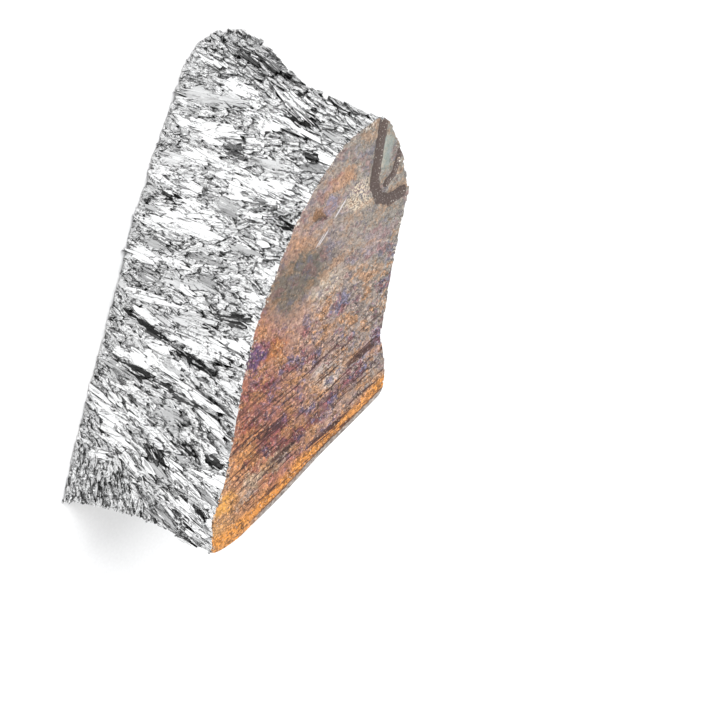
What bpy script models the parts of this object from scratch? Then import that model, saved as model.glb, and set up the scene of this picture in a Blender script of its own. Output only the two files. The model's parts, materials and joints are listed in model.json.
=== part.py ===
"""A broken corner of a cast bismuth ingot, resting on the flat face that the mould gave it.

The casting has a flat mould bottom, a free top that set with a slight swell, and one drafted
end wall. Every other side is a break. The metal grew in coarse columns, from the mould bottom
upwards and inwards from the end wall, and it splits along them: each column shows in a break
as a long, pointed, tilted blade. Metres, +Z up.
"""

import math
import random

import bmesh
import bpy
from mathutils import Matrix, Vector, noise

MM = 0.001
SEED = 417

THICKNESS = 37 * MM  # mould bottom to free top
SWELL = 0.45 * MM  # height of the free top's slow waves
SWELL_LENGTH = 16 * MM
CASTING_DEPTH = 80 * MM  # the slab's size across, from the end wall
TOP_GRID = 6.5 * MM  # spacing of the points on the free top

END_WALL_NOSE = Vector((46, -9)) * MM  # the end wall's top edge, at the sharp nose
END_WALL_BACK = Vector((9.2, 22.2)) * MM  # and at the back corner
END_WALL_BOW = 1.75 * MM  # the top edge bows out between them, most of it near the nose
END_WALL_DRAFT = 1.1 * MM  # the wall leans in by this much at the bottom

CORE_DEPTH = 1.9 * MM  # solid metal starts this far behind the tips of the blades
CORE_LEVELS = (-2 * MM, 9 * MM, 18 * MM, 28 * MM, 39 * MM)
BLADE_ROOT = 6 * MM  # and a blade reaches this far in
BLADE_SPREAD = 1.4  # a blade's root is wider than its face, so no hollow is closed in
BLADE_COUNT = 250
BLADE_LENGTH = (8 * MM, 19 * MM)  # smallest and largest
BLADE_WIDTH = (2.6 * MM, 6.2 * MM)
END_GRAIN_DEPTH = 7 * MM  # columns that grew from the end wall, low down by the nose
END_GRAIN_TOP = 22 * MM

# The breaks seen from above, in mm: at the mould bottom, at half height and at the free top.
# They start past the nose and go along the front, around the narrow end and back to the end wall.
BREAK_LINE = [
    ((56, -11.6), (53, -6), (52, -5.5)),
    ((49, -13), (45.2, -9.6), (46, -9.4)),
    ((44, -14), (40.5, -12.2), (41, -12.2)),
    ((36, -15.4), (34.5, -13.8), (34, -12.2)),
    ((26, -16.8), (25, -15.8), (24, -14.2)),
    ((14, -18.3), (14.5, -18), (15, -17)),
    ((2, -19.8), (3, -19.6), (4, -18.6)),
    ((-9, -21.2), (-8, -20.2), (-7, -18.6)),
    ((-20, -21.8), (-18.5, -20.2), (-17, -17.8)),
    ((-30, -22.2), (-28, -19.4), (-26, -15.6)),
    ((-38, -22.2), (-35.5, -18.4), (-33, -12.8)),
    ((-43.3, -20.4), (-40.5, -15.5), (-37.4, -9)),
    ((-46.8, -16.8), (-42.5, -11.5), (-40.2, -6)),
    ((-49, -11), (-41.8, -7), (-40.8, -3.6)),
    ((-49.2, -4), (-40.8, -2.6), (-40.2, -1)),
    ((-47, 2.5), (-39.4, 1), (-37.4, 2)),
    ((-44, 7.5), (-36.6, 5), (-34, 5.6)),
    ((-39, 11.5), (-33, 9), (-30.2, 9.2)),
    ((-30, 14.4), (-25.5, 12), (-22, 10.8)),
    ((-18, 17), (-15, 14.6), (-12, 13)),
    ((-7, 20), (-5, 17.8), (-3, 16)),
    ((1, 23.4), (2, 21.6), (3, 20.2)),
    ((8.6, 25), (9, 23.6), (9.4, 22.4)),
    ((15, 27.5), (15.5, 26), (16, 24.5)),
]

METAL = ((0.62, 0.62, 0.61, 1.0), 0.28, 1.0)  # colour, roughness, metallic


def clear_scene():
    for thing in list(bpy.data.objects):
        bpy.data.objects.remove(thing, do_unlink=True)


def new_collection(name):
    collection = bpy.data.collections.new(name)
    bpy.context.scene.collection.children.link(collection)
    return collection


def new_object(name, bm, collection):
    bm.normal_update()
    bmesh.ops.recalc_face_normals(bm, faces=bm.faces)
    mesh = bpy.data.meshes.new(name)
    bm.to_mesh(mesh)
    bm.free()
    thing = bpy.data.objects.new(name, mesh)
    collection.objects.link(thing)
    return thing


def hide_as_cutter(thing):
    thing.hide_render = True
    thing.display_type = "WIRE"


def metal_material(name):
    colour, roughness, metallic = METAL
    material = bpy.data.materials.new(name)
    material.use_nodes = True
    shader = material.node_tree.nodes["Principled BSDF"]
    shader.inputs["Base Color"].default_value = colour
    shader.inputs["Roughness"].default_value = roughness
    shader.inputs["Metallic"].default_value = metallic
    return material


class BreakWall:
    """The smooth surface that the blades stand in, measured by the way along it and the height."""

    def __init__(self, stations):
        self.sections = [[Vector(point) * MM for point in section] for section in zip(*stations)]
        middle = self.sections[1]
        self.marks = [0.0]
        for i in range(1, len(middle)):
            self.marks.append(self.marks[-1] + (middle[i] - middle[i - 1]).length)
        self.length = self.marks[-1]

    def point(self, way, height):
        way = min(max(way, 0.0), self.length)
        i = 1
        while self.marks[i] < way and i < len(self.marks) - 1:
            i += 1
        t = (way - self.marks[i - 1]) / (self.marks[i] - self.marks[i - 1])
        low, middle, high = (section[i - 1].lerp(section[i], t) for section in self.sections)
        h = height / THICKNESS
        flat = low * (1 - h) * (1 - 2 * h) + middle * 4 * h * (1 - h) + high * h * (2 * h - 1)
        return Vector((flat.x, flat.y, height))

    def frame(self, way, height, reach=5 * MM):
        """Directions along the wall, up it and out of it, averaged over a short reach."""
        ahead = self.point(way + reach, height) - self.point(way - reach, height)
        rise = self.point(way, THICKNESS) - self.point(way, 0)
        forward = ahead.normalized()
        outward = rise.cross(ahead).normalized()
        return forward, forward.cross(outward), outward


def end_wall_distance(flat):
    """How far a point in plan is inside the end wall's top edge."""
    along = (END_WALL_BACK - END_WALL_NOSE).normalized()
    outward = Vector((along.y, -along.x))
    return -(flat - END_WALL_NOSE).dot(outward)


def grain_angle(way, height, wall):
    """Angle of the columns in the wall, from upright, towards the nose."""
    inside = end_wall_distance(wall.point(way, height).xy)
    if inside < END_GRAIN_DEPTH and height < END_GRAIN_TOP:
        return math.radians(82)
    lean = 4 + 16 * max(0.0, 1 - inside / (45 * MM))
    return math.radians(lean)


def add_blade(rng, wall, way, height, length, width, collection):
    """One blade of crystal: a tapered, pointed prism whose outer face is tilted."""
    forward, up, outward = wall.frame(way, height)
    angle = grain_angle(way, height, wall) + rng.gauss(0, math.radians(9))
    along = up * math.cos(angle) - forward * math.sin(angle)
    across = outward.cross(along)
    tip_tilt = rng.gauss(0, 0.07)
    side_tilt = rng.gauss(0, 0.3)
    lift = rng.gauss(0.45, 0.3) * MM - abs(side_tilt) * width / 2 - abs(tip_tilt) * length / 2
    bm = bmesh.new()
    bmesh.ops.create_cone(
        bm,
        cap_ends=True,
        segments=rng.choice((5, 6, 6, 7)),
        radius1=BLADE_SPREAD,
        radius2=1.0,
        depth=2.0,
        matrix=Matrix.Rotation(rng.uniform(-0.3, 0.3), 4, "Z"),
    )
    for vert in bm.verts:
        spread = rng.uniform(0.8, 1.15)
        a = vert.co.x * spread * length / 2
        b = vert.co.y * spread * width / 2
        out = -BLADE_ROOT
        if vert.co.z > 0:
            out = lift + tip_tilt * a + side_tilt * b
        vert.co = wall.point(way, height) + along * a + across * b + outward * out
    return new_object("blade", bm, collection)


def add_blades(wall, rng, collection):
    for number in range(BLADE_COUNT):
        # golden-ratio steps spread the blades evenly along the wall
        way = (number * 0.6180339887 % 1) * wall.length
        height = (number + rng.random()) / BLADE_COUNT * (THICKNESS + 4 * MM) - 2 * MM
        size = rng.random() ** 1.5
        length = BLADE_LENGTH[0] + size * (BLADE_LENGTH[1] - BLADE_LENGTH[0])
        width = BLADE_WIDTH[0] + size * (BLADE_WIDTH[1] - BLADE_WIDTH[0])
        add_blade(rng, wall, way, height, length, width, collection)


def core_object(wall, collection):
    """The solid metal behind the blades: a loft from the low outline to the high one."""
    bm = bmesh.new()
    rings = []
    for height in CORE_LEVELS:
        ring = []
        for way in wall.marks:
            _, _, outward = wall.frame(way, height)
            ring.append(bm.verts.new(wall.point(way, height) - outward * CORE_DEPTH))
        rings.append(ring)
    for low, high in zip(rings, rings[1:]):
        for i in range(len(low)):
            j = (i + 1) % len(low)
            bm.faces.new((low[i], low[j], high[j], high[i]))
    bm.faces.new(rings[0])
    bm.faces.new(rings[-1])
    return new_object("bismuth_chunk", bm, collection)


def casting_object(collection):
    """The cast slab: a grid that follows the end wall, waved on top and drawn down to a flat bottom."""
    along = (END_WALL_BACK - END_WALL_NOSE).normalized()
    inward = Vector((-along.y, along.x))
    span = (END_WALL_BACK - END_WALL_NOSE).length
    columns = int(span * 3 / TOP_GRID)
    rows = int(CASTING_DEPTH / TOP_GRID)
    bm = bmesh.new()
    bmesh.ops.create_grid(bm, x_segments=columns, y_segments=rows, size=0.5)
    for vert in bm.verts:
        a = (vert.co.x * 3 + 0.5) * span
        b = (vert.co.y + 0.5) * CASTING_DEPTH
        near = min(max(a / span, 0.0), 1.0)
        bow = END_WALL_BOW * (1 - near) * min(1.0, near / 0.15) ** 0.5 * (1 - b / CASTING_DEPTH)
        flat = END_WALL_NOSE + along * a + inward * (b - bow)
        wave = noise.noise(Vector((flat.x, flat.y, 0)) / SWELL_LENGTH)
        vert.co = Vector((flat.x, flat.y, THICKNESS + SWELL * wave))
    rim = [edge for edge in bm.edges if edge.is_boundary]
    drawn = bmesh.ops.extrude_edge_only(bm, edges=rim)["geom"]
    for vert in (item for item in drawn if isinstance(item, bmesh.types.BMVert)):
        inside = end_wall_distance(vert.co.xy)
        if inside < 3 * MM:
            vert.co.x += inward.x * END_WALL_DRAFT
            vert.co.y += inward.y * END_WALL_DRAFT
        vert.co.z = 0
    bottom = [edge for edge in bm.edges if edge.is_boundary]
    bmesh.ops.contextual_create(bm, geom=bottom)
    return new_object("casting", bm, collection)


def add_boolean(thing, name, operation):
    """The blades overlap one another in their hundreds, which only this solver joins cleanly."""
    modifier = thing.modifiers.new(name, "BOOLEAN")
    modifier.operation = operation
    modifier.solver = "MANIFOLD"
    return modifier


def centre_over_origin(thing):
    """Puts the middle of the chunk's footprint on the origin, its base staying at height 0."""
    seen = thing.evaluated_get(bpy.context.evaluated_depsgraph_get())
    corners = [Vector(corner) for corner in seen.bound_box]
    middle = (corners[0] + corners[6]) / 2
    thing.location = (-middle.x, -middle.y, 0)


def build():
    clear_scene()
    rng = random.Random(SEED)
    chunk_parts = new_collection("bismuth_ingot_chunk")
    blades = new_collection("blades")
    cutters = new_collection("cutters")
    wall = BreakWall(BREAK_LINE)
    chunk = core_object(wall, chunk_parts)
    chunk.data.materials.append(metal_material("broken_bismuth"))
    casting = casting_object(cutters)
    add_blades(wall, rng, blades)
    for guide in [casting, *blades.objects]:
        hide_as_cutter(guide)
        guide.parent = chunk
    joined = add_boolean(chunk, "blades", "UNION")
    joined.operand_type = "COLLECTION"
    joined.collection = blades
    trimmed = add_boolean(chunk, "casting", "INTERSECT")
    trimmed.object = casting
    centre_over_origin(chunk)


build()
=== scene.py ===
import json
import math
import random

import bmesh
import bpy
from mathutils import Matrix, Vector, noise

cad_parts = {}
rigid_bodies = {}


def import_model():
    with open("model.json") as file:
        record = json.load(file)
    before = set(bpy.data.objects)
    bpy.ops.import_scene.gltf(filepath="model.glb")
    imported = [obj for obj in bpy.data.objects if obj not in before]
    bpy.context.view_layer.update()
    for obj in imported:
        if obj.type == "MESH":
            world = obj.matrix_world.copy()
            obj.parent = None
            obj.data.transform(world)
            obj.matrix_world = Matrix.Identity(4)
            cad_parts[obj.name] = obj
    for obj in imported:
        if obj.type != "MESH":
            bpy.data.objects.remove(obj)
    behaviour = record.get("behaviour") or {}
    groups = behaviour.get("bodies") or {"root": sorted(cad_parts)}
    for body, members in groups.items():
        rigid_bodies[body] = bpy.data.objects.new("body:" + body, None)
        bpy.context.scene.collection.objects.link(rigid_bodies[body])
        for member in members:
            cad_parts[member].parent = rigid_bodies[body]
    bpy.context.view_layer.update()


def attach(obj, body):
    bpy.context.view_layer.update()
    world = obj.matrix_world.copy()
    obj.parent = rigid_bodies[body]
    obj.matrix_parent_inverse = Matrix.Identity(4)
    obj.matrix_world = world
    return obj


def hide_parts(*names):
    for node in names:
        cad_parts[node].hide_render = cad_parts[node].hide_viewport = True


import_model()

MM = 0.001

# ---------------------------- sizes, in metres

THICKNESS = 37 * MM
TO_ROW = Vector((0.04, -0.56, 0)) * MM  # from the outline's own origin to the row's

# The moulded end wall: a straight line in plan, beyond which its upper edge bulges a little.
END_WALL_NOSE = Vector((46, -9)) * MM
END_WALL_BACK = Vector((9.2, 22.2)) * MM
END_WALL_SPAN = (END_WALL_BACK - END_WALL_NOSE).length
ALONG_WALL = (END_WALL_BACK - END_WALL_NOSE).normalized()
INWARD = Vector((-ALONG_WALL.y, ALONG_WALL.x))
END_WALL_BOW = 2.6 * MM
BOW_START = 0.15  # share of the span, from the nose, in which the bow sets in
BOW_DEPTH = 60 * MM  # how far in from the wall the top's grid follows the bow
END_WALL_FLARE = 1.2 * MM  # how much further out its top stands at the nose
END_WALL_DRAFT = 2.3 * MM
END_WALL_GRAINS = ((0.4 * MM, 1.7 * MM), (0.25 * MM, 0.7 * MM))  # height and size
END_WALL_SINK = 0.2 * MM
END_WALL_NEAR = 3 * MM  # what is further in belongs to the slab's other sides
WALL_LEVELS = 40

# The free top: a slight swell, and a worn strip along the top of the end wall.
SWELL = 0.45 * MM
SWELL_LENGTH = 16 * MM
LIP = 2.1 * MM
LIP_DROP = 0.5 * MM
LIP_WAVER = 0.35 * MM
LIP_WAVER_LENGTH = 2.2 * MM
SHOULDER = 0.7 * MM  # rounding between the lip and the end wall
RIDGE_CHIPS = 1.4 * MM  # how far in from the breaks the top's edge is chipped

# The slab that the chunk is cut from: where it starts and stops, as shares of the end wall's
# span from the nose, and how deep it is.
SLAB_START, SLAB_STOP = -0.3, 1.75
SLAB_DEPTH = 74 * MM
SLAB_GRID = 0.5 * MM

# The two breaks: their slow waves, how finely they broke up, and the metal behind the blades.
WAVE_HEIGHT = 0.55 * MM
WAVE_LENGTH = 11 * MM
EDGE_FADE = 3 * MM  # height in which the relief dies out towards either flat face
SHATTER_LENGTH = 7 * MM
SHATTERED_FOOT = 5 * MM
CORE_DEPTH = 0.55 * MM  # behind the blades' faces
CORE_LEVELS = [(number * 3 - 1) * MM for number in range(14)]
CORE_WAYS = 60
CORE_TONE = 0.8

# How crystals vary, large ones first and small ones second.
LARGE_CRYSTAL = 5 * MM
ANGLE_SPREAD = (0.08, 0.2)
SIDE_TILT_SPREAD = (0.2, 0.12)
TIP_TILT_SPREAD = 0.05
LIFT = (0.12, 0.02)  # mm
LIFT_SPREAD = (0.13, 0.05)
FRAY = (0.1, 0.8)
FACET_REFLECTION_TONES = (0.98, 0.98, 0.98, 0.95, 0.95, 0.9, 0.8, 0.65, 0.5, 0.35)  # of large ones; painted reflection, how bright each facet's mirror image would be
# Painted shade on the blades' sides, darker where the crevices between them would be in shadow.
FLANK_SHADE_TONES = (0.85, 0.8, 0.75, 0.3)
DARKEST, BRIGHTEST = 0.03, 0.98
REACH_BY_WALL = 0.4 * MM  # furthest that a blade stands out beside the end wall

BLADE_ROOT = 5.5 * MM
BLADE_SLANT = 0.7
BLADE_SPREAD = (0.8, 1.1)  # of its corners from their even places
BLADE_CORNERS = (4, 5, 6)

# Length, width and number of tries of each size of crystal, largest first.
FRONT_CRYSTALS = [
    (15 * MM, 2.7 * MM, 150),
    (10 * MM, 2.0 * MM, 400),
    (6.5 * MM, 1.4 * MM, 900),
    (4 * MM, 0.95 * MM, 2200),
    (2.4 * MM, 0.65 * MM, 5000),
]
BACK_CRYSTALS = [
    (13 * MM, 3.0 * MM, 120),
    (8 * MM, 2.0 * MM, 400),
    (5 * MM, 1.4 * MM, 1200),
    (3 * MM, 1.0 * MM, 2500),
]
FRONT_STRIP = 0.5 * MM  # width of the strips that a facet is made of
BACK_STRIP = 1.0 * MM
FRONT_DETAIL = 1.0  # share of the splinters that are made
BACK_DETAIL = 0.45
OVERLAP = 0.42  # how close crystals stand, as a share of their lengths and widths added
NEIGHBOURHOOD = 20 * MM
SHATTERED_LENGTH = 4 * MM  # longer crystals are left out where the metal broke up
SEED = 20417

END_GROWN_REACH = 13  # mm in from the end wall
END_GROWN_HEIGHT = 24 * MM
END_GROWN_ANGLE = math.radians(82)

FLOOR_HALF_SIDE = 3.0
FLOOR_GAP = 0.2 * MM
WORLD_LIGHT = 0.86
WORLD_COLOUR = (0.93, 0.94, 0.95)
LAMPS = (  # name, place, size both ways and watts
    ("key", (-0.35, -0.25, 0.75), (0.5, 0.5), 4.8),
    ("fill", (0.5, -0.5, 0.4), (0.5, 0.4), 1.5),
)
LAMPS_AIM = Vector((0, 0, 0.02))
CAMERA_LENS, CAMERA_SENSOR = 150, 36  # mm
CAMERA_ELEVATION = math.radians(40)
CAMERA_ROLL = math.radians(109.8)
CAMERA_AIM = Vector((3.511, 35.225, 18)) * MM
CAMERA_DISTANCE = 606.085 * MM

# The breaks seen from above, in mm: at the mould bottom, half way up and at the free top.
BREAK_LINE = [
    ((56, -11.6), (53, -6), (52, -5.5)),
    ((49, -13), (45.2, -9.6), (46, -9.4)),
    ((44, -14), (40.5, -12.2), (41, -12.2)),
    ((36, -15.4), (34.5, -13.8), (34, -12.2)),
    ((26, -16.8), (25, -15.8), (24, -14.2)),
    ((14, -18.3), (14.5, -18), (15, -17)),
    ((2, -19.8), (3, -19.6), (4, -18.6)),
    ((-9, -21.2), (-8, -20.2), (-7, -18.6)),
    ((-20, -21.8), (-18.5, -20.2), (-17, -17.8)),
    ((-30, -22.2), (-28, -19.4), (-26, -15.6)),
    ((-38, -22.2), (-35.5, -18.4), (-33, -12.8)),
    ((-43.3, -20.4), (-40.5, -15.5), (-37.4, -9)),
    ((-46.8, -16.8), (-42.5, -11.5), (-40.2, -6)),
    ((-49, -11), (-41.8, -7), (-40.8, -3.6)),
    ((-49.2, -4), (-40.8, -2.6), (-40.2, -1)),
    ((-47, 2.5), (-39.4, 1), (-37.4, 2)),
    ((-44, 7.5), (-36.6, 5), (-34, 5.6)),
    ((-39, 11.5), (-33, 9), (-30.2, 9.2)),
    ((-30, 14.4), (-25.5, 12), (-22, 10.8)),
    ((-18, 17), (-15, 14.6), (-12, 13)),
    ((-7, 20), (-5, 17.8), (-2.6, 15.6)),
    ((1, 23.4), (2, 21.6), (3, 20.2)),
    ((8.6, 25), (9, 23.6), (9.4, 22.4)),
    ((15, 27.5), (15.5, 26), (16, 24.5)),
]
FRONT_END = 12  # stations before this one belong to the front break
TAIL_BEND = 9 * MM  # how far either side of it the breaks curve round the tail
TAIL_WIDEST = 1.3 * MM  # wider crystals are left out there

# A shallow lap on the top, where the last metal froze: plan points in mm, and its half width.
LAP_LINE = [
    (-40.5, -4), (-36, -2.8), (-32.2, -1.8), (-28.6, -0.8), (-26.6, 1.6), (-27.2, 4.6),
    (-29.6, 7.4),
]
LAP_BRANCH = [(-29.6, 2.2), (-32, 3.4), (-36.5, 3.0)]
LAP_REACH = 1.45 * MM
LAP_DEPTH = 0.5 * MM
LAP_WAVER = 0.35 * MM
LAP_WAVER_LENGTH = 0.9 * MM
LAP_LEAF = ((-39.4, -1.5), (-31.2, 0.1), 1.0)  # smooth metal between the lap's arms
SCRATCHES = [
    ((-19.5, -8.3), (-24.3, -7.0), 0.1),
    ((-17.6, -8.6), (-13.6, -9.9), 0.08),
    ((-16.6, -9.4), (-13, -10.4), 0.06),
]

# The front break's most noticeable crystals and gashes: way along it, height, length and width
# in mm, lean towards the nose in degrees, and brightness (painted reflection; a gash's is painted
# shade).
LANDMARKS = [
    (94, 4.5, 6, 1.6, 8, 0.95),
    (94, 24, 13, 2.8, 15, 0.9),
    (91.5, 26, 8, 1.8, 12, 0.03),
    (99.4, 9, 7, 1.6, 9, 0.05),
    (101, 13, 8, 1.8, 12, 0.03),
    (102.6, 17, 8, 2.0, 12, 0.03),
    (104, 13, 8, 1.6, 10, 0.03),
    (103.4, 21.5, 7, 1.7, 12, 0.04),
    (87.5, 21.5, 7.5, 2.0, 10, 0.97),
    (83, 13, 14, 2.3, -9, 0.97),
    (80.5, 17.5, 6, 3.2, 0, 0.2),
    (76.5, 27, 15, 2.4, 7, 0.97),
    (73, 27.5, 3.6, 2.6, -7, 0.32),
    (78, 31, 8, 1.8, -3, 0.95),
    (86, 32.5, 5.5, 1.3, -4, 0.04),
    (72, 34.5, 6, 1.6, 4, 0.04),
    (71, 12, 7, 2.2, 0, 0.97),
    (68, 7, 7, 1.2, 3, 0.06),
    (64, 14, 16, 3.6, 2, 0.95),
    (60, 20, 9, 1.6, 2, 0.4),
    (49, 10.5, 16, 1.4, -3, 0.98),
    (51.5, 31, 10, 2.2, -7, 0.05),
    (44, 26.5, 18, 4.0, 3, 0.97),
    (48, 23, 9.5, 3.2, -5, 0.7),
    (43.5, 11, 14, 1.3, 10, 0.04),
    (41, 24, 12, 1.0, 15, 0.05),
    (35, 11, 12, 1.6, 6, 0.05),
    (33.5, 24.5, 15, 1.2, 7, 0.1),
    (31, 11.5, 11, 3.0, 4, 0.97),
    (34.5, 27, 19, 2.0, 12, 0.98),
    (29, 21.5, 7.5, 3.2, 10, 0.55),
    (30.5, 30.5, 13, 2.2, 21, 0.97),
    (22, 9, 10, 2.2, 7, 0.92),
    (26, 11, 6.5, 1.4, 15, 0.95),
    (18.5, 6.5, 6, 1.4, -8, 0.97),
    (24.5, 21, 9, 1.1, 22, 0.96),
    (21, 19.5, 5, 2.4, 37, 0.1),
    (18, 19, 5.5, 1.2, 34, 0.95),
    (24, 26.5, 4, 1.6, 17, 0.08),
    (23.5, 33, 4, 1.6, 18, 0.06),
    (14, 25, 2.6, 1.0, 9, 0.03),
    (13.5, 34, 3, 1.2, 25, 0.03),
]
BRIGHT, PAINTED_SHADE_GASH = 0.5, 0.15  # brighter than the one is a facet, darker than the other a gash of painted shade
FACET_LIFT = 0.25 * MM
DULL_LIFT = -0.15 * MM
PAINTED_GASH_LIFT = 0.06 * MM
TAIL_PAINTED_GASH_LIFT = 0.35 * MM

TARNISH, CAST = 1, 2  # material slots, after the silver one
SHARP_ANGLE = math.radians(35)
TOP_BAND = 2 * MM  # what is within this of the thickness belongs to the free top


class BreakWall:
    """The smooth surface that the blades stand in, measured by the way along it and the height."""

    def __init__(self, stations):
        self.sections = [[Vector(point) * MM for point in section] for section in zip(*stations)]
        middle = self.sections[1]
        self.marks = [0.0]
        for i in range(1, len(middle)):
            self.marks.append(self.marks[-1] + (middle[i] - middle[i - 1]).length)
        self.length = self.marks[-1]

    def point(self, way, height):
        """The curve through the three sections, at that way along them."""
        way = min(max(way, 0.0), self.length)
        i = 1
        while self.marks[i] < way and i < len(self.marks) - 1:
            i += 1
        t = (way - self.marks[i - 1]) / (self.marks[i] - self.marks[i - 1])
        low, middle, high = (section[i - 1].lerp(section[i], t) for section in self.sections)
        h = height / THICKNESS
        flat = low * (1 - h) * (1 - 2 * h) + middle * 4 * h * (1 - h) + high * h * (2 * h - 1)
        return Vector((flat.x, flat.y, height))

    def frame(self, way, height, reach=5 * MM):
        """Forward along the wall, up in it and out of it, as three directions."""
        ahead = self.point(way + reach, height) - self.point(way - reach, height)
        rise = self.point(way, THICKNESS) - self.point(way, 0)
        forward = ahead.normalized()
        outward = rise.cross(ahead).normalized()
        return forward, forward.cross(outward), outward


def end_wall_distance(flat):
    """How far in from the end wall's straight line a plan point is, in metres."""
    return (flat - END_WALL_NOSE).dot(INWARD)


def line_distance(flat, line):
    """How far a plan point is from a line of points given in mm."""
    best = 1.0
    for start, end in zip(line, line[1:]):
        start, end = Vector(start) * MM, Vector(end) * MM
        step = end - start
        t = min(max((flat - start).dot(step) / step.length_squared, 0.0), 1.0)
        best = min(best, (flat - start - step * t).length)
    return best


def lap_at(flat):
    """1 in the middle of the lap, 0 away from it."""
    ragged = LAP_WAVER * noise.noise(Vector((flat.x, flat.y, 0)) / LAP_WAVER_LENGTH)
    main = line_distance(flat, LAP_LINE) / LAP_REACH
    branch = line_distance(flat, LAP_BRANCH) / (0.6 * LAP_REACH)
    return min(1.0, max(0.0, 2.2 * (1 + ragged / LAP_REACH - min(main, branch))))


wall = BreakWall(BREAK_LINE)
front_length = wall.marks[FRONT_END]


# ---------------------------- the break's blades

def inside_end_wall(way, height):
    """How far in from the end wall's straight line a point of the breaks is, in metres."""
    return end_wall_distance(wall.point(way, height).xy)


def end_grown(way, height):
    """0 to 1 where the crystals grew in from the end wall instead of up from the bottom."""
    beside = max(0.0, 1 - inside_end_wall(way, height) / MM / END_GROWN_REACH)
    return beside * max(0.0, 1 - height / END_GROWN_HEIGHT)


def grain_angle(way, height):
    """Angle of the columns in the wall, from upright, towards the nose."""
    lean = 1 + 19 * max(0.0, 1 - inside_end_wall(way, height) / MM / 40) ** 0.8
    corner = end_grown(way, height)
    if corner > 0.22:
        return END_GROWN_ANGLE
    return math.radians(lean + 100 * corner)


def roughly(way, height):
    """Slow rise and fall of the whole break, in metres."""
    place = Vector((way, height, 0)) / WAVE_LENGTH
    return WAVE_HEIGHT * noise.noise(place + Vector((3.1, 7.7, 0)))


def relief(height):
    """How much of the break's relief is left near the top and bottom edges, 0.2 to 1."""
    under_top = 0.2 + 0.8 * min(max((THICKNESS - height) / EDGE_FADE, 0.0), 1.0)
    over_bottom = 0.7 + 0.3 * min(max(height / EDGE_FADE, 0.0), 1.0)
    return min(under_top, over_bottom)


def shattered(way, height):
    """How finely the metal broke up here, 0 to 1."""
    place = Vector((way, height, 0)) / SHATTER_LENGTH
    near_bottom = max(0.0, 1 - height / SHATTERED_FOOT)
    near_top = max(0.0, 1 - (THICKNESS - height) / EDGE_FADE)
    broken = max(0.0, 0.35 + 0.9 * noise.noise(place)) + 0.9 * near_bottom + 0.4 * near_top
    return min(1.0, broken + 4 * end_grown(way, height))


def new_mesh_object(name, bm, collection):
    """Makes an object of a bmesh, and frees the bmesh."""
    mesh = bpy.data.meshes.new(name)
    bm.to_mesh(mesh)
    bm.free()
    thing = bpy.data.objects.new(name, mesh)
    collection.objects.link(thing)
    return thing


def surface_layers(bm):
    """What the silver material reads off a face: brightness, which holds painted reflection and
    painted shade, way of the grain, and fraying.
    """
    faces = bm.faces.layers
    return faces.float.new("tone"), faces.float_vector.new("grain"), faces.float.new("fray")


class Crystal:
    """One column of metal: where it stands in the wall, how its face lies, and its tones: painted
    reflection on its face and painted shade on its flanks.
    """

    def __init__(self, rng, way, height, length, width):
        self.way, self.height, self.length, self.width = way, height, length, width
        large = length > LARGE_CRYSTAL
        size = 0 if large else 1
        self.angle = grain_angle(way, height) + rng.gauss(0, ANGLE_SPREAD[size])
        self.tip_tilt = rng.gauss(0, TIP_TILT_SPREAD)
        self.side_tilt = rng.gauss(0, SIDE_TILT_SPREAD[size])
        sink = abs(self.side_tilt) * width * 0.35 + abs(self.tip_tilt) * length * 0.3
        self.lift = rng.gauss(LIFT[size], LIFT_SPREAD[size]) * MM - sink
        # Painted reflection: the face's tone stands for the light or dark that its tilt would
        # mirror.
        self.tone = rng.choice(FACET_REFLECTION_TONES) if large else rng.uniform(0.6, BRIGHTEST)
        self.flank_shade = rng.choice(FLANK_SHADE_TONES)
        self.fray = FRAY[size]
        self.drawn_out = 1.0 if height > 4 * MM else 0.75  # its splinters, along the grain
        self.reach = REACH_BY_WALL + 0.3 * max(inside_end_wall(way, height), 0.0)
        if end_grown(way, height) > 0.2:
            self.tone = rng.uniform(0.6, 0.85)
            self.flank_shade = 0.7
            self.fray = 0.45
            self.drawn_out = 0.6


def landmark_crystals(rng):
    """The crystals and gashes that are placed one by one."""
    found = []
    for way, height, length, width, lean, tone in LANDMARKS:
        crystal = Crystal(rng, way * MM, height * MM, length * MM, width * MM)
        crystal.angle = math.radians(lean)
        crystal.tip_tilt *= 0.5
        crystal.side_tilt *= 0.4
        crystal.tone = tone
        crystal.lift = FACET_LIFT if tone > BRIGHT else DULL_LIFT
        # A gash is a near-black blade: painted shade where the break lies dark.
        if tone < PAINTED_SHADE_GASH:
            by_tail = crystal.way > front_length - TAIL_BEND
            crystal.lift = TAIL_PAINTED_GASH_LIFT if by_tail else PAINTED_GASH_LIFT
            crystal.width *= 1.1
            crystal.fray = 0.7
        found.append(crystal)
    return found


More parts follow.
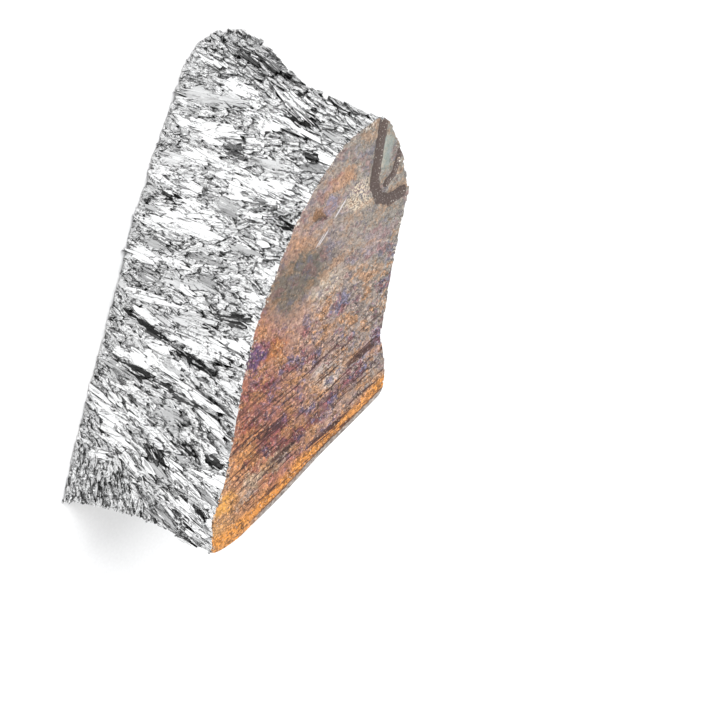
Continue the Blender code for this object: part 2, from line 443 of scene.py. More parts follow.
def add_blade(rng, crystal, middle, size, step, turn, tone, fray, lean=(0.0, 0.0)):
    """A tapered, pointed prism set into the wall, whose outer face lies in the cleavage plane.

    Its middle, size and lean are pairs: along the crystal and across it. It is turned in that
    plane, and stands out of it by the step."""
    length, width = size
    forward, up, outward = wall.frame(crystal.way, crystal.height)
    along = up * math.cos(crystal.angle) - forward * math.sin(crystal.angle)
    across = outward.cross(along)
    foot = wall.point(crystal.way, crystal.height) + TO_ROW
    lift = crystal.lift + step + roughly(crystal.way, crystal.height)
    slant = rng.uniform(-BLADE_SLANT, BLADE_SLANT)
    c, s = math.cos(turn), math.sin(turn)
    bm = bmesh.new()
    toned, grained, frayed = surface_layers(bm)
    bmesh.ops.create_cone(
        bm,
        cap_ends=True,
        segments=rng.choice(BLADE_CORNERS),
        radius1=1.2,
        radius2=1.0,
        depth=2.0,
        matrix=Matrix.Rotation(math.pi * rng.choice((0, 1)), 4, "Z"),
    )
    for face in bm.faces:
        outer = face.normal.z > 0.9
        # The sides take painted shade: no brighter than the crystal's flank shade.
        face[toned] = tone if outer else min(tone, crystal.flank_shade)
        face[grained] = along * crystal.drawn_out
        face[frayed] = fray if outer else 1.0
    for vert in bm.verts:
        spread = rng.uniform(*BLADE_SPREAD)
        p = (vert.co.x + slant * vert.co.y * abs(vert.co.y)) * spread * length / 2
        q = vert.co.y * spread * width / 2
        a = middle[0] + p * c - q * s
        b = middle[1] + p * s + q * c
        out = -BLADE_ROOT
        if vert.co.z > 0:
            out = lift + (crystal.tip_tilt + lean[0]) * a + (crystal.side_tilt + lean[1]) * b
            out = min(out * relief(crystal.height + a * math.cos(crystal.angle)), crystal.reach)
        vert.co = foot + along * a + across * b + outward * out
    blades.append(new_mesh_object("blade", bm, blade_collection))


def covers(other, crystal):
    """Whether a kept crystal lies over the middle of a new one, or close beside it."""
    dw, dh = other.way - crystal.way, other.height - crystal.height
    if abs(dw) + abs(dh) > NEIGHBOURHOOD:
        return False
    c, s = math.cos(crystal.angle), math.sin(crystal.angle)
    a = (dh * c - dw * s) / (OVERLAP * (crystal.length + other.length))
    b = (dw * c + dh * s) / (OVERLAP * (crystal.width + other.width))
    return a * a + b * b < 1


def pack_crystals(rng, start, end, classes, kept=()):
    """Throws crystals at the wall, largest first, and keeps those that no kept one covers."""
    kept = list(kept)
    for length, width, tries in classes:
        for _ in range(tries):
            way = rng.uniform(start, end)
            height = rng.uniform(-1 * MM, THICKNESS + 1 * MM)
            size = rng.uniform(0.75, 1.3)
            if length > SHATTERED_LENGTH and rng.random() < shattered(way, height) * 1.1:
                continue
            if width > TAIL_WIDEST and abs(way - front_length) < TAIL_BEND:
                continue
            wide = width * size * rng.uniform(0.8, 1.25)
            crystal = Crystal(rng, way, height, length * size, wide)
            if not any(covers(other, crystal) for other in kept):
                kept.append(crystal)
    return kept


def dress(rng, crystal, strip, detail):
    """Makes the strips of a crystal's facet, and the steps and splinters that stand on it."""
    length, width = crystal.length, crystal.width
    count = max(1, round(width / strip))
    spacing = width / count
    for number in range(count):
        across = (number + 0.5) * spacing - width / 2
        share = 1 - 0.6 * (2 * across / width) ** 2  # shorter towards either side
        add_blade(
            rng, crystal,
            middle=(rng.gauss(0, 0.12) * length, across),
            size=(1.25 * length * share * rng.uniform(0.6, 1.1), spacing * rng.uniform(1.7, 2.6)),
            step=rng.gauss(0, 0.035) * MM,
            turn=rng.gauss(0, 0.03),
            tone=min(BRIGHTEST, max(DARKEST, crystal.tone + rng.gauss(0, 0.04))),
            fray=crystal.fray,
        )
    broken = shattered(crystal.way, crystal.height)
    splinters = length * width / (MM * MM) * (0.03 + 0.4 * broken) * detail
    for _ in range(int(splinters + rng.random())):
        add_blade(
            rng, crystal,
            middle=(rng.uniform(-0.5, 0.5) * length, rng.uniform(-0.5, 0.5) * width),
            size=(rng.uniform(1.5, 4.5) * MM, rng.uniform(0.2, 0.45) * MM),
            step=rng.gauss(0.05, 0.07) * MM,
            turn=rng.gauss(0, 0.12),
            tone=rng.uniform(0.25, BRIGHTEST),
            fray=0.6,
            lean=(rng.gauss(0, 0.05), rng.gauss(0, 0.35)),
        )


blade_collection = bpy.data.collections.new("blades")
bpy.context.scene.collection.children.link(blade_collection)
blades = []
rng = random.Random(SEED)
front_crystals = pack_crystals(rng, 0, front_length, FRONT_CRYSTALS, landmark_crystals(rng))
back_crystals = pack_crystals(rng, front_length, wall.length, BACK_CRYSTALS)
for crystal in front_crystals:
    dress(rng, crystal, FRONT_STRIP, FRONT_DETAIL)
for crystal in back_crystals:
    dress(rng, crystal, BACK_STRIP, BACK_DETAIL)


# ---------------------------- solid metal behind them

def loft_core():
    """The metal between the two breaks, just behind the blades' faces, past either flat face."""
    bm = bmesh.new()
    toned, grained, frayed = surface_layers(bm)
    rings = []
    for height in CORE_LEVELS:
        ring = []
        for number in range(CORE_WAYS + 1):
            way = wall.length * number / CORE_WAYS
            _, _, outward = wall.frame(way, height)
            behind = outward * (CORE_DEPTH - roughly(way, height)) * (0.15 + 0.85 * relief(height))
            ring.append(bm.verts.new(wall.point(way, height) - behind + TO_ROW))
        rings.append(ring)
    for low, high in zip(rings, rings[1:]):
        for i in range(len(low)):
            j = (i + 1) % len(low)
            bm.faces.new((low[i], low[j], high[j], high[i]))
    bm.faces.new(rings[0])
    bm.faces.new(rings[-1])
    for face in bm.faces:
        face[toned] = CORE_TONE
        face[grained] = (0, 0, 1)
        face[frayed] = 1.0
    bm.normal_update()
    bmesh.ops.recalc_face_normals(bm, faces=bm.faces)
    return new_mesh_object("bismuth_chunk_metal", bm, bpy.context.scene.collection)


def keep_largest_body(mesh):
    """Drops the crumbs that the cut left loose."""
    bm = bmesh.new()
    bm.from_mesh(mesh)
    waiting = set(bm.verts)
    bodies = []
    while waiting:
        body = []
        edge_of_body = [waiting.pop()]
        while edge_of_body:
            vert = edge_of_body.pop()
            body.append(vert)
            for edge in vert.link_edges:
                other = edge.other_vert(vert)
                if other in waiting:
                    waiting.remove(other)
                    edge_of_body.append(other)
        bodies.append(body)
    bodies.sort(key=len)
    for body in bodies[:-1]:
        bmesh.ops.delete(bm, geom=body, context="VERTS")
    bm.to_mesh(mesh)
    bm.free()


def top_point(a, b):
    """The free top, a along the end wall from the nose and b in from its upper edge."""
    near = min(max(a / END_WALL_SPAN, 0.0), 1.0)
    bow = END_WALL_BOW * (1 - near) * min(1.0, near / BOW_START) ** 0.5
    bow += END_WALL_FLARE * (1 - near ** 2)
    flat = END_WALL_NOSE + ALONG_WALL * a + INWARD * (b - bow * max(0.0, 1 - b / BOW_DEPTH))
    wave = noise.noise(Vector((flat.x, flat.y, 0)) / SWELL_LENGTH)
    drop = SHOULDER - math.sqrt(SHOULDER ** 2 - max(0.0, SHOULDER - b) ** 2)
    ragged = b + LIP_WAVER * noise.noise(Vector((a, 0, 0)) / LIP_WAVER_LENGTH)
    drop += LIP_DROP * min(1.0, max(0.0, 1.5 - 1.5 * ragged / LIP))
    drop += LAP_DEPTH * lap_at(flat)
    return Vector((flat.x, flat.y, THICKNESS + SWELL * wave - drop)) + TO_ROW


def side_point(upper, share):
    """The point on the ingot's side that far down from its upper edge, where 1 is the bottom."""
    place = Vector((upper.x, upper.y, upper.z * (1 - share)))
    if end_wall_distance(upper.xy - TO_ROW.xy) > END_WALL_NEAR:
        return place
    grains = sum(height * noise.noise(place / size) for height, size in END_WALL_GRAINS)
    inward = END_WALL_DRAFT * share + (grains + END_WALL_SINK) * min(1.0, share * 12)
    return place + INWARD.to_3d() * inward


def extrude_sides(bm):
    """Draws the grid's rim down to the mould bottom, level by level."""
    upper = bm.verts.layers.float_vector.new("upper")
    rim = [edge for edge in bm.edges if edge.is_boundary]
    for vert in {vert for edge in rim for vert in edge.verts}:
        vert[upper] = vert.co
    for level in range(1, WALL_LEVELS + 1):
        drawn = bmesh.ops.extrude_edge_only(bm, edges=rim)["geom"]
        for item in drawn:
            if isinstance(item, bmesh.types.BMVert):
                item.co = side_point(item[upper], level / WALL_LEVELS)
            elif isinstance(item, bmesh.types.BMFace):
                item.material_index = CAST
                item.smooth = True
        rim = [item for item in drawn if isinstance(item, bmesh.types.BMEdge) and item.is_boundary]
    bm.verts.layers.float_vector.remove(upper)


def cast_slab():
    """The cast ingot that the chunk broke from: its free top, end wall and bottom."""
    width = SLAB_STOP - SLAB_START
    bm = bmesh.new()
    surface_layers(bm)  # as the blades have, so that the Boolean keeps them
    bmesh.ops.create_grid(
        bm,
        x_segments=int(END_WALL_SPAN * width / SLAB_GRID),
        y_segments=int(SLAB_DEPTH / SLAB_GRID),
        size=0.5,
    )
    for vert in bm.verts:
        a = (SLAB_START + (vert.co.x + 0.5) * width) * END_WALL_SPAN
        b = (vert.co.y + 0.5) * SLAB_DEPTH
        vert.co = top_point(a, b)
    for face in bm.faces:
        face.material_index = TARNISH
        face.smooth = True
    extrude_sides(bm)
    bottom = [edge for edge in bm.edges if edge.is_boundary]
    for face in bmesh.ops.contextual_create(bm, geom=bottom)["faces"]:
        face.material_index = CAST
    bm.normal_update()
    bmesh.ops.recalc_face_normals(bm, faces=bm.faces)
    return new_mesh_object("slab", bm, bpy.context.scene.collection)


# ---------------------------- materials

def srgb(red, green, blue):
    """A colour as seen on screen, 0 to 255, made into the shader's own numbers."""
    return tuple(
        level / 12.92 if level <= 0.04045 else ((level + 0.055) / 1.055) ** 2.4
        for level in (red / 255, green / 255, blue / 255)
    )


GLINT = (0.9, 0.9, 0.9)

# The oxide film's usual colour by the way along the end wall from the nose, in mm, and the places
# where another one settled: way along the end wall and in from it, reach both ways, colour and
# strength.
FILM_COURSE = (
    (0, srgb(216, 164, 104)),
    (10, srgb(206, 148, 106)),
    (18, srgb(180, 118, 94)),
    (27, srgb(170, 122, 102)),
    (35, srgb(176, 142, 126)),
    (45, srgb(162, 145, 136)),
    (57, srgb(154, 145, 136)),
    (68, srgb(142, 138, 130)),
)
FILM_SPAN = 70.0
FILM_PATCHES = (
    (38, 36.5, 12, 7, srgb(104, 100, 90), 0.9),
    (44.5, 30.5, 6, 3, srgb(198, 184, 166), 0.75),
    (40.5, 42.5, 6, 2.2, srgb(182, 142, 116), 0.6),
    (54, 48, 6, 1.8, srgb(196, 146, 110), 0.6),
    (51, 45, 3.5, 1.6, srgb(128, 122, 150), 0.6),
    (47.5, 44.7, 2.6, 1.5, srgb(82, 68, 60), 0.95),
    (59, 31, 7, 2.5, srgb(170, 150, 150), 0.6),
    (51, 11.5, 6, 3, srgb(160, 152, 170), 0.75),
    (37.5, 14, 5, 3.5, srgb(200, 186, 176), 0.85),
    (27.5, 27.5, 4, 2.5, srgb(178, 104, 52), 0.75),
    (22.5, 28.5, 5, 2.6, srgb(92, 70, 116), 0.85),
    (20, 21.5, 7, 4, srgb(140, 82, 76), 0.7),
    (13, 11.5, 4.5, 3, srgb(206, 140, 82), 0.8),
    (16, 15.5, 4, 3, srgb(154, 84, 66), 0.8),
    (18, 6, 10, 1.8, srgb(196, 170, 142), 0.9),
    (19, 9.2, 1.8, 1.3, srgb(78, 60, 84), 0.85),
    (14, 9, 2, 1.6, srgb(130, 60, 54), 0.8),
    (22, 11.5, 6, 2.6, srgb(128, 68, 72), 0.85),
    (28, 7.6, 9, 1.6, srgb(122, 62, 58), 0.8),
    (39, 8.6, 11, 1.8, srgb(118, 84, 88), 0.7),
    (6, 6.5, 4, 2, srgb(236, 170, 80), 0.85),
    (11, 4.2, 4, 1.1, srgb(158, 152, 146), 0.7),
)
# Ovals on the top: middle and reach, both as the way along the end wall and in from it, in mm.
CALM_END = ((60, 44), (36, 22))
CALM_MIDDLE = ((37, 36), (15, 10))
COMBED = ((32, 9), (38, 17))
DUSTED = ((57.5, 42.5), (5, 4))

MAUVE, SLATE_BLUE = srgb(146, 74, 84), srgb(90, 94, 136)
PALE_GOLD = srgb(194, 138, 88)
AMBER = srgb(230, 152, 68)
THREAD_BROWN = srgb(70, 38, 36)
SPECK_BROWN = srgb(64, 48, 48)
PAINTED_GLINT_SPECK = srgb(236, 206, 184)
DUST = srgb(226, 210, 186)
LEAF_GREY = srgb(152, 164, 158)
GROOVE_TONES = ((0.62, srgb(84, 70, 66)), (0.68, srgb(190, 182, 172)))
SCRATCH_WHITE = srgb(226, 220, 222)
CHIP_TONES = ((0.35, srgb(60, 52, 50)), (0.45, srgb(170, 146, 124)), (0.8, srgb(226, 218, 206)))
UNDER_LIP = srgb(84, 52, 34)
LIP_TONES = ((0.38, srgb(108, 100, 94)), (0.5, srgb(158, 148, 142)), (0.62, srgb(200, 194, 188)))
CAST_TONES = ((0.38, srgb(184, 186, 192)), (0.5, srgb(196, 192, 188)), (0.64, srgb(196, 182, 168)))
PIT_GREY = srgb(84, 80, 80)


class Material:
    """A Principled material, with short names for the nodes that it is made from."""

    def __init__(self, name):
        self.material = bpy.data.materials.new(name)
        self.material.use_nodes = True
        self.nodes = self.material.node_tree.nodes
        self.links = self.material.node_tree.links
        self.shader = self.nodes["Principled BSDF"]

    def put(self, value, socket):
        """Links a socket to another, or sets it to a value that is the same all over."""
        if isinstance(value, bpy.types.NodeSocket):
            self.links.new(value, socket)
        else:
            socket.default_value = value

    def complete(self, colour, roughness, metallic=0.0, normal=None):
        """Plugs the looks into the shader."""
        self.put(colour, self.shader.inputs["Base Color"])
        self.put(roughness, self.shader.inputs["Roughness"])
        self.put(metallic, self.shader.inputs["Metallic"])
        if normal is not None:
            self.put(normal, self.shader.inputs["Normal"])
        return self.material

    def attribute(self, name, output="Fac"):
        node = self.nodes.new("ShaderNodeAttribute")
        node.attribute_name = name
        return node.outputs[output]

    def place(self):
        """The point on the object, in millimetres."""
        metres = self.nodes.new("ShaderNodeTexCoord").outputs["Object"]
        return self.vector("SCALE", metres, scale=1 / MM)

    def math(self, operation, *values):
        node = self.nodes.new("ShaderNodeMath")
        node.operation = operation
        for value, socket in zip(values, node.inputs):
            self.put(value, socket)
        return node.outputs[0]

    def plus(self, first, second):
        return self.math("ADD", first, second)

    def times(self, first, *others):
        """The product of all of them."""
        for value in others:
            first = self.math("MULTIPLY", first, value)
        return first

    def rest(self, value):
        """What is left of 1."""
        return self.math("SUBTRACT", 1.0, value)

    def vector(self, operation, *values, scale=None):
        node = self.nodes.new("ShaderNodeVectorMath")
        node.operation = operation
        for value, socket in zip(values, node.inputs):
            self.put(value, socket)
        if scale is not None:
            self.put(scale, node.inputs["Scale"])
        return node.outputs["Value" if operation in ("DOT_PRODUCT", "LENGTH") else "Vector"]

    def moved(self, place, direction, amount):
        """A place moved that many times a direction."""
        return self.vector("ADD", place, self.vector("SCALE", direction, scale=amount))

    def noise(self, place, scale, detail=3.0, roughness=0.5, output="Fac"):
        node = self.nodes.new("ShaderNodeTexNoise")
        self.put(place, node.inputs["Vector"])
        node.inputs["Scale"].default_value = scale
        node.inputs["Detail"].default_value = detail
        node.inputs["Roughness"].default_value = roughness
        return node.outputs[output]

    def unrest(self, place, scale, detail=3.0, roughness=0.5):
        """A random direction that changes slowly from place to place, up to a half each way."""
        cloud = self.noise(place, scale, detail, roughness, output="Color")
        return self.vector("SUBTRACT", cloud, (0.5, 0.5, 0.5))

    def voronoi(self, place, scale, feature, output):
        node = self.nodes.new("ShaderNodeTexVoronoi")
        node.feature = feature
        self.put(place, node.inputs["Vector"])
        node.inputs["Scale"].default_value = scale
        return node.outputs[output]

    def cells(self, place, scale):
        """A number for each cell of a broken-up pattern, the same all over the cell."""
        split = self.nodes.new("ShaderNodeSeparateColor")
        self.put(self.voronoi(place, scale, "F1", "Color"), split.inputs["Color"])
        return split.outputs["Red"]

    def cracks(self, place, scale, width):
        """Thin dark outlines of the cells of a broken-up pattern, which come and go, on white."""
        distance = self.voronoi(place, scale, "DISTANCE_TO_EDGE", "Distance")
        gap = self.times(distance, 1 / scale)
        thinning = self.ramp(self.noise(place, scale * 0.6, 3.0, 0.6), (0.46, 0.0), (0.64, width))
        line = self.math("SUBTRACT", gap, thinning)
        return self.ramp(self.plus(line, 0.1), (0.095, 0.1), (0.12, 1.0))

    def ramp(self, value, *stops, span=1.0):
        """A number between the stops' places, 0 to span, made into their values or colours."""
        if span != 1.0:
            value = self.times(value, 1 / span)
        node = self.nodes.new("ShaderNodeValToRGB")
        marks = node.color_ramp.elements
        while len(marks) < len(stops):
            marks.new(1.0)
        for mark, (place, colour) in zip(marks, stops):
            if not isinstance(colour, tuple):
                colour = (colour, colour, colour)
            mark.position = place / span
            mark.color = (*colour, 1)
        self.put(value, node.inputs["Fac"])
        return node.outputs["Color"]

    def mix(self, amount, first, second, way="MIX"):
        """The first colour turned into the second as far as the amount says."""
        node = self.nodes.new("ShaderNodeMixRGB")
        node.blend_type = way
        self.put(amount, node.inputs[0])
        for value, socket in ((first, node.inputs[1]), (second, node.inputs[2])):
            self.put((*value, 1) if isinstance(value, tuple) else value, socket)
        return node.outputs["Color"]

    def shaded(self, colour, shade, amount=1.0):
        """The colour multiplied by a shade, as far as the amount says."""
        return self.mix(amount, colour, shade, "MULTIPLY")

    def cluster(self, place, centre, reach):
        """1 in the middle of an oval, 0 outside it."""
        offset = self.vector("SUBTRACT", place, (*centre, 0))
        offset = self.vector("MULTIPLY", offset, (1 / reach[0], 1 / reach[1], 0))
        return self.ramp(self.vector("LENGTH", offset), (0.55, 1.0), (1.0, 0.0))

    def scratch(self, place, start, end, width):
        """1 on a straight thin line on the top, 0 away from it."""
        start, end = Vector((*start, 0)), Vector((*end, 0))
        along = (end - start).normalized()
        aside = Vector((-along.y, along.x, 0))
        offset = self.vector("SUBTRACT", place, (start + end) / 2 + TO_ROW / MM)
        off = self.math("ABSOLUTE", self.vector("DOT_PRODUCT", offset, aside))
        way = self.math("ABSOLUTE", self.vector("DOT_PRODUCT", offset, along))
        half = (end - start).length / 2
        ends = self.ramp(way, (half * 0.6, 1.0), (half, 0.0), span=half * 1.2)
        return self.times(ends, self.ramp(off, (width, 1.0), (width * 2, 0.0), span=width * 3))

    def bump(self, height, depth, strength):
        node = self.nodes.new("ShaderNodeBump")
        node.inputs["Distance"].default_value = depth
        node.inputs["Strength"].default_value = strength
        self.put(height, node.inputs["Height"])
        return node.outputs["Normal"]


def silver_material():
    """Fresh metal: bright and grey cleaved facets, and finely splintered metal between them."""
    m = Material("broken_bismuth")
    place = m.place()
    grain = m.attribute("grain", "Vector")
    along = m.vector("DOT_PRODUCT", place, grain)
    wandered = m.moved(place, m.noise(place, 1.2, 2.0, output="Color"), 0.4)
    drawn = m.moved(wandered, grain, m.times(along, -0.87))  # long along the grain
    crushed = m.moved(wandered, grain, m.times(along, -0.55))  # shorter
    splinters = m.cells(drawn, 3.0)
    rubble = m.cells(crushed, 3.6)
    broken = m.ramp(m.noise(crushed, 0.3, 4.0, 0.65), (0.5, 0.0), (0.54, 1.0))
    fray = m.math("MINIMUM", m.plus(m.attribute("fray"), m.times(broken, 0.5)), 1.0)

    glints = m.times(m.ramp(splinters, (0.8, 0.0), (0.82, 0.9)), fray)
    colour = m.mix(glints, m.attribute("tone", "Color"), GLINT)
    streaks = m.ramp(splinters, (0.08, 0.2), (0.1, 0.8), (0.25, 0.86), (0.27, 1.0))
    soft = m.ramp(m.noise(drawn, 0.8, 4.0, 0.65), (0.36, 0.86), (0.5, 1.0))
    colour = m.shaded(colour, m.mix(fray, soft, streaks))
    crumbs = m.ramp(rubble, (0.1, 0.08), (0.12, 0.65), (0.2, 0.8), (0.22, 1.0))
    colour = m.shaded(colour, crumbs, m.times(broken, 0.9))
    colour = m.shaded(colour, m.cracks(drawn, 0.8, 0.06), 0.8)
    cracks = m.shaded(m.cracks(drawn, 2.0, 0.045), m.cracks(crushed, 1.6, 0.055))
    colour = m.shaded(colour, cracks, m.times(fray, 0.75))

    roughness = m.plus(m.times(m.noise(place, 6.0, 2.0, 0.6), 0.22), 0.12)
    height = m.times(m.plus(splinters, rubble), m.plus(m.times(fray, 0.5), 0.05))
    return m.complete(colour, roughness, 1.0, m.bump(height, 0.08 * MM, 0.6))


class Tarnish(Material):
    """The ingot's free top, where a thin oxide film turned the metal brown, gold, mauve and blue.

    film gives the first colour. From veins to lip, each method adds one more thing to it."""

    def __init__(self):
        super().__init__("tarnished_bismuth")
        self.spot = self.place()
        self.lie_along_wall()
        self.close = self.unrest(self.spot, 0.9)
        warped = self.moved(self.flow, self.unrest(self.spot, 0.28), 5.0)
        self.warped = self.moved(warped, self.close, 3.2)
        self.stirred = self.rest(self.times(self.calm(), 0.85))
        self.crumpled = self.drawn_out(1.2, 0.65)
        self.creases = self.noise(self.crumpled, 1.5, 5.0, 0.75)
        self.streaks = self.noise(self.drawn_out(0.25, 0.06), 1.2, 3.0, 0.6)
        self.combed = self.cluster(self.warped, *COMBED)
        self.specks = self.cells(self.moved(self.spot, self.close, 0.9), 4.0)

    def lie_along_wall(self):
        """Finds the way along the end wall from the nose and in from it, in mm, by its straight
        line and by its bowed upper edge."""
        from_nose = self.vector("SUBTRACT", self.spot, (END_WALL_NOSE.to_3d() + TO_ROW) / MM)
        self.u = self.vector("DOT_PRODUCT", from_nose, ALONG_WALL.to_3d())
        v = self.vector("DOT_PRODUCT", from_nose, INWARD.to_3d())
        node = self.nodes.new("ShaderNodeCombineXYZ")
        self.put(self.u, node.inputs["X"])
        self.put(v, node.inputs["Y"])
        self.flow = node.outputs["Vector"]
        self.edge = self.plus(v, self.bow())

    def bow(self):
        """How far the upper edge stands out from its straight line, as top_point has it, in mm."""
        near = self.times(self.u, MM / END_WALL_SPAN)
        near = self.math("MINIMUM", self.math("MAXIMUM", near, 0.0), 1.0)
        start = self.math("MINIMUM", self.times(near, 1 / BOW_START), 1.0)
        bow = self.times(self.rest(near), END_WALL_BOW / MM, self.math("POWER", start, 0.5))
        flare = self.times(self.rest(self.times(near, near)), END_WALL_FLARE / MM)
        return self.plus(bow, flare)

    def calm(self):
        """How still the metal froze here, 0 to 1."""
        end = self.times(self.cluster(self.warped, *CALM_END), 0.6)
        middle = self.times(self.cluster(self.warped, *CALM_MIDDLE), 0.7)
        here_and_there = self.ramp(self.noise(self.spot, 0.3, 2.0), (0.52, 0.0), (0.62, 0.6))
        return self.math("MAXIMUM", self.math("MAXIMUM", end, middle), here_and_there)

    def drawn_out(self, unrest, share):
        """A place for patterns that are drawn out along the end wall, least at a share of 1."""
        place = self.moved(self.flow, self.close, unrest)
        return self.vector("MULTIPLY", place, (share, 1.0, 1.0))

    def film(self):
        """The film's broad colours."""
        way = self.vector("DOT_PRODUCT", self.warped, (1, 0, 0))
        colour = self.ramp(way, *FILM_COURSE, span=FILM_SPAN)
        for u, v, reach_u, reach_v, tint, strength in FILM_PATCHES:
            spread = self.cluster(self.warped, (u, v), (reach_u, reach_v))
            colour = self.mix(self.times(spread, strength), colour, tint)
        return colour

    def veins(self, colour):
        """Mauve, blue and gold where the film's thickness differs, and amber by the end wall."""
        veined = self.drawn_out(2.5, 0.6)
        hue = self.noise(veined, 0.26, 6.0, 0.75)
        past_nose = self.ramp(self.u, (14, 0.2), (26, 1.0), span=80.0)
        bluish = self.times(self.ramp(hue, (0.52, 0.0), (0.56, 0.65)), self.stirred, past_nose)
        blend = self.noise(veined, 0.5, 4.0, 0.7)
        colour = self.mix(bluish, colour, self.ramp(blend, (0.47, MAUVE), (0.53, SLATE_BLUE)))
        golden = self.times(self.ramp(hue, (0.44, 0.7), (0.48, 0.0)), self.stirred)
        colour = self.mix(golden, colour, PALE_GOLD)
        band = self.plus(self.edge, self.times(self.noise(veined, 0.5, 3.0), 1.8))
        return self.mix(self.ramp(band, (4.6, 0.85), (6.0, 0.0), span=10.0), colour, AMBER)

    def wrinkles(self, colour):
        """Painted shade in the creases and painted highlight on the crinkles, threads of darker
        film along the end wall, and fine outlines.
        """
        # Painted shade and highlight: darker in the creases, up to nearly twice as bright on the
        # crinkles between them.
        shade = self.ramp(self.creases, (0.38, 0.2), (0.44, 0.78), (0.53, 1.04), (0.6, 1.9))
        colour = self.shaded(colour, shade, self.stirred)
        threads = self.times(self.ramp(self.streaks, (0.4, 0.9), (0.47, 0.0)), self.combed)
        colour = self.mix(threads, colour, THREAD_BROWN)
        wide, narrow = self.cracks(self.crumpled, 0.9, 0.09), self.cracks(self.crumpled, 2.0, 0.08)
        return self.shaded(colour, self.shaded(wide, narrow), self.times(self.stirred, 0.55))

    def speckle(self, colour):
        """Dark specks, pale specks of painted glint, and a dusting of pale ones near the narrow
        end.
        """
        colour = self.mix(self.ramp(self.specks, (0.07, 0.55), (0.09, 0.0)), colour, SPECK_BROWN)
        # The pale specks are painted glints: tiny highlights put into the film's colour.
        pale = self.times(self.ramp(self.specks, (0.95, 0.0), (0.96, 0.5)), self.stirred)
        colour = self.mix(pale, colour, PAINTED_GLINT_SPECK)
        dusted = self.cluster(self.warped, *DUSTED)
        dusting = self.times(dusted, self.ramp(self.specks, (0.62, 0.0), (0.66, 0.85)))
        return self.mix(dusting, colour, DUST)

    def lap(self, colour):
        """The smooth leaf between the lap's arms, and the lap itself."""
        leaf = self.scratch(self.moved(self.spot, self.close, 0.6), *LAP_LEAF)
        colour = self.mix(self.times(leaf, 0.6), colour, LEAF_GREY)
        groove = self.plus(self.attribute("lap"), self.times(self.creases, 0.4))
        tone = self.ramp(self.noise(self.spot, 3.5, 2.0, 0.6), *GROOVE_TONES)
        return self.mix(self.ramp(groove, (0.5, 0.0), (0.65, 0.95)), colour, tone)

    def scratches(self, colour):
        for start, end, width in SCRATCHES:
            line = self.scratch(self.spot, start, end, width)
            colour = self.mix(self.times(line, 0.8), colour, SCRATCH_WHITE)
        return colour

    def chips(self, colour):
        """Bare metal where the top's edge is chipped beside the breaks."""
        ragged = self.ramp(self.noise(self.spot, 0.5, 3.0, 0.6), (0.48, 0.0), (0.56, 1.0))
        crumbs = self.ramp(self.specks, (0.4, 0.0), (0.5, 1.0))
        chips = self.times(self.attribute("chipped"), ragged, crumbs)
        tone = self.ramp(self.cells(self.spot, 3.1), *CHIP_TONES)
        return self.mix(self.ramp(chips, (0.25, 0.0), (0.5, 0.85)), colour, tone)

    def lip(self, colour):
        """The worn strip along the end wall, and the dark line at its foot."""
        rim = self.plus(self.edge, self.times(self.noise(self.flow, 0.9, 4.0, 0.7), 1.2))
        past_nose = self.ramp(self.u, (9, 0.0), (13, 1.0), span=80.0)
        foot = self.ramp(rim, (2.3, 0.0), (2.4, 0.9), (2.6, 0.9), (2.9, 0.0), span=4.0)
        colour = self.mix(self.times(foot, past_nose), colour, UNDER_LIP)
        worn = self.times(self.ramp(rim, (2.25, 0.94), (2.4, 0.0), span=4.0), past_nose)
        return self.mix(worn, colour, self.ramp(self.creases, *LIP_TONES))

    def relief(self):
        """The height that the bump is made from."""
        fine = self.noise(self.spot, 3.0, 3.0, 0.7)
        height = self.plus(self.times(self.streaks, 0.9, self.combed), self.times(fine, 0.5))
        height = self.plus(height, self.times(self.creases, 0.8))
        return self.times(height, self.stirred)


def tarnish_material():
    """The free top's material, put on layer by layer."""
    m = Tarnish()
    colour = m.film()
    layers = (m.veins, m.wrinkles, m.speckle, m.lap, m.scratches, m.chips, m.lip)
    for layer in layers:
        colour = layer(colour)
    roughness = m.ramp(m.creases, (0.3, 0.6), (0.7, 0.3))
    return m.complete(colour, roughness, 0.25, m.bump(m.relief(), 0.3 * MM, 0.8))


def cast_material():
    """The ingot's moulded sides: dull metal with faint cast grains, pits and a thin film."""
    m = Material("cast_bismuth")
    place = m.place()
    wandered = m.moved(place, m.unrest(place, 0.7, 4.0, 0.7), 3.0)
    upright = m.vector("MULTIPLY", wandered, (1.0, 1.0, 0.6))
    colour = m.ramp(m.noise(place, 0.07, 4.0, 0.6), *CAST_TONES)
    grains = m.cells(upright, 0.5)
    colour = m.shaded(colour, m.ramp(grains, (0.0, 0.74), (1.0, 1.14)))
    fine = m.noise(place, 2.6, 5.0, 0.75)
    colour = m.shaded(colour, m.ramp(fine, (0.36, 0.6), (0.5, 0.98), (0.62, 1.25)))
    colour = m.shaded(colour, m.cracks(upright, 0.5, 0.12), 0.3)
    pits = m.ramp(m.cells(wandered, 1.9), (0.03, 1.0), (0.04, 0.0))
    colour = m.mix(m.times(pits, 0.6), colour, PIT_GREY)
    roughness = m.ramp(grains, (0.0, 0.5), (1.0, 0.3))
    height = m.math("SUBTRACT", m.plus(fine, m.noise(place, 0.6, 3.0)), m.times(pits, 0.6))
    return m.complete(colour, roughness, 1.0, m.bump(height, 0.3 * MM, 0.8))


def paper_material():
    m = Material("floor_paper")
    grain = m.noise(m.place(), 1.5, 2.0)
    return m.complete(m.ramp(grain, (0.3, 0.9), (0.7, 0.94)), 0.8)


# ---------------------------- putting the chunk together

def add_boolean(thing, operation):
    """A Boolean step on a thing, whose operand is still to be set."""
    step = thing.modifiers.new(operation.lower(), "BOOLEAN")
    step.solver = "MANIFOLD"
    step.operation = operation
    return step


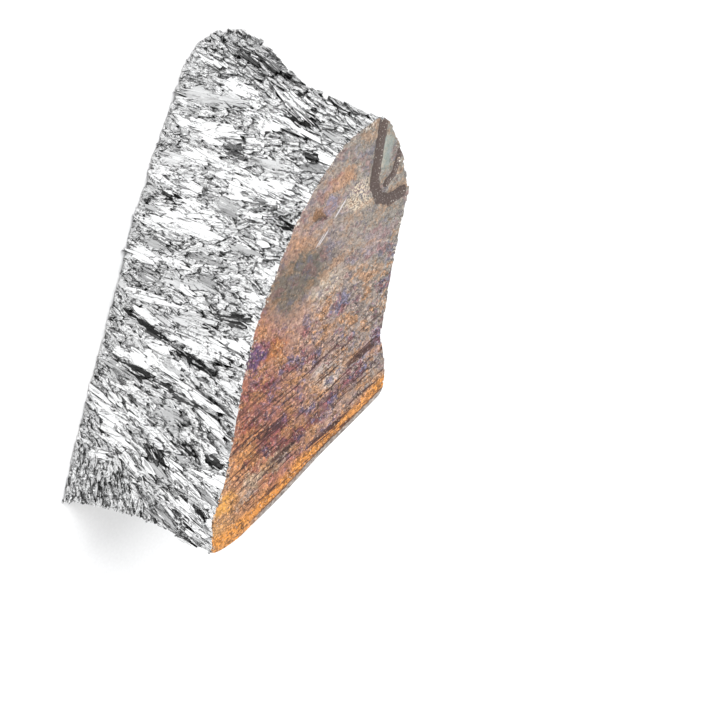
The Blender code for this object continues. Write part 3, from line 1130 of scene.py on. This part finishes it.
def chunk_mesh():
    """The blades joined onto the core, and cut by the slab: one closed mesh."""
    core = loft_core()
    slab = cast_slab()
    materials = [silver_material(), tarnish_material(), cast_material()]
    parts = [core, slab, *blades]
    for part in parts:
        for material in materials:
            part.data.materials.append(material)
    union = add_boolean(core, "UNION")
    union.operand_type = "COLLECTION"
    union.collection = blade_collection
    add_boolean(core, "INTERSECT").object = slab
    finished = core.evaluated_get(bpy.context.evaluated_depsgraph_get())
    mesh = bpy.data.meshes.new_from_object(finished)
    keep_largest_body(mesh)
    bpy.data.batch_remove([part.data for part in parts] + parts)
    bpy.data.collections.remove(blade_collection)
    mesh.set_sharp_from_angle(angle=SHARP_ANGLE)
    return mesh


def mark_top(mesh):
    """Marks each point of the top for the tarnish: whether in the lap, how near the breaks."""
    ridge_line = [top for _, _, top in BREAK_LINE]
    lap = mesh.attributes.new("lap", "FLOAT", "POINT")
    chipped = mesh.attributes.new("chipped", "FLOAT", "POINT")
    for vert in mesh.vertices:
        if vert.co.z > THICKNESS - TOP_BAND:
            flat = (vert.co - TO_ROW).xy
            beside_break = line_distance(flat, ridge_line) / RIDGE_CHIPS
            lap.data[vert.index].value = lap_at(flat)
            chipped.data[vert.index].value = max(0.0, 1 - beside_break)


scene = bpy.context.scene
mesh = chunk_mesh()
mark_top(mesh)
chunk = bpy.data.objects.new("bismuth_chunk_metal_v", mesh)
scene.collection.objects.link(chunk)

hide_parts("bismuth_chunk")
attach(chunk, "root")


# ---------------------------- floor, light and camera

def lay_floor():
    """Plain pale paper, just under the chunk."""
    bm = bmesh.new()
    bmesh.ops.create_grid(bm, x_segments=1, y_segments=1, size=FLOOR_HALF_SIDE)
    floor = new_mesh_object("floor", bm, scene.collection)
    floor.location.z = -FLOOR_GAP
    floor.data.materials.append(paper_material())
    return floor


def light_sky():
    """An even, pale light from all round."""
    scene.world = bpy.data.worlds.new("studio")
    scene.world.use_nodes = True
    background = scene.world.node_tree.nodes["Background"].inputs
    background["Color"].default_value = (*WORLD_COLOUR, 1)
    background["Strength"].default_value = WORLD_LIGHT


def softbox(name, place, size, power):
    """A rectangular lamp that faces the chunk."""
    light = bpy.data.lights.new(name, "AREA")
    light.shape = "RECTANGLE"
    light.size, light.size_y = size
    light.energy = power
    lamp = bpy.data.objects.new(name, light)
    scene.collection.objects.link(lamp)
    lamp.location = place
    aim = LAMPS_AIM - Vector(place)
    lamp.rotation_euler = aim.to_track_quat("-Z", "Y").to_euler()


def set_camera():
    """Sets the camera at the photograph's angle: in front, raised and rolled, nose down."""
    toward = Vector((0, -math.cos(CAMERA_ELEVATION), math.sin(CAMERA_ELEVATION)))
    level = Vector((1, 0, 0))
    rise = toward.cross(level)
    right = level * math.cos(CAMERA_ROLL) + rise * math.sin(CAMERA_ROLL)
    up = toward.cross(right)
    camera_data = bpy.data.cameras.new("camera")
    camera_data.lens = CAMERA_LENS
    camera_data.sensor_width = CAMERA_SENSOR
    camera = bpy.data.objects.new("camera", camera_data)
    scene.collection.objects.link(camera)
    camera.matrix_world = Matrix((right, up, toward)).transposed().to_4x4()
    camera.location = CAMERA_AIM + toward * CAMERA_DISTANCE + TO_ROW
    scene.camera = camera


floor = lay_floor()
scene.view_settings.view_transform = "Standard"
light_sky()
for lamp in LAMPS:
    softbox(*lamp)
set_camera()
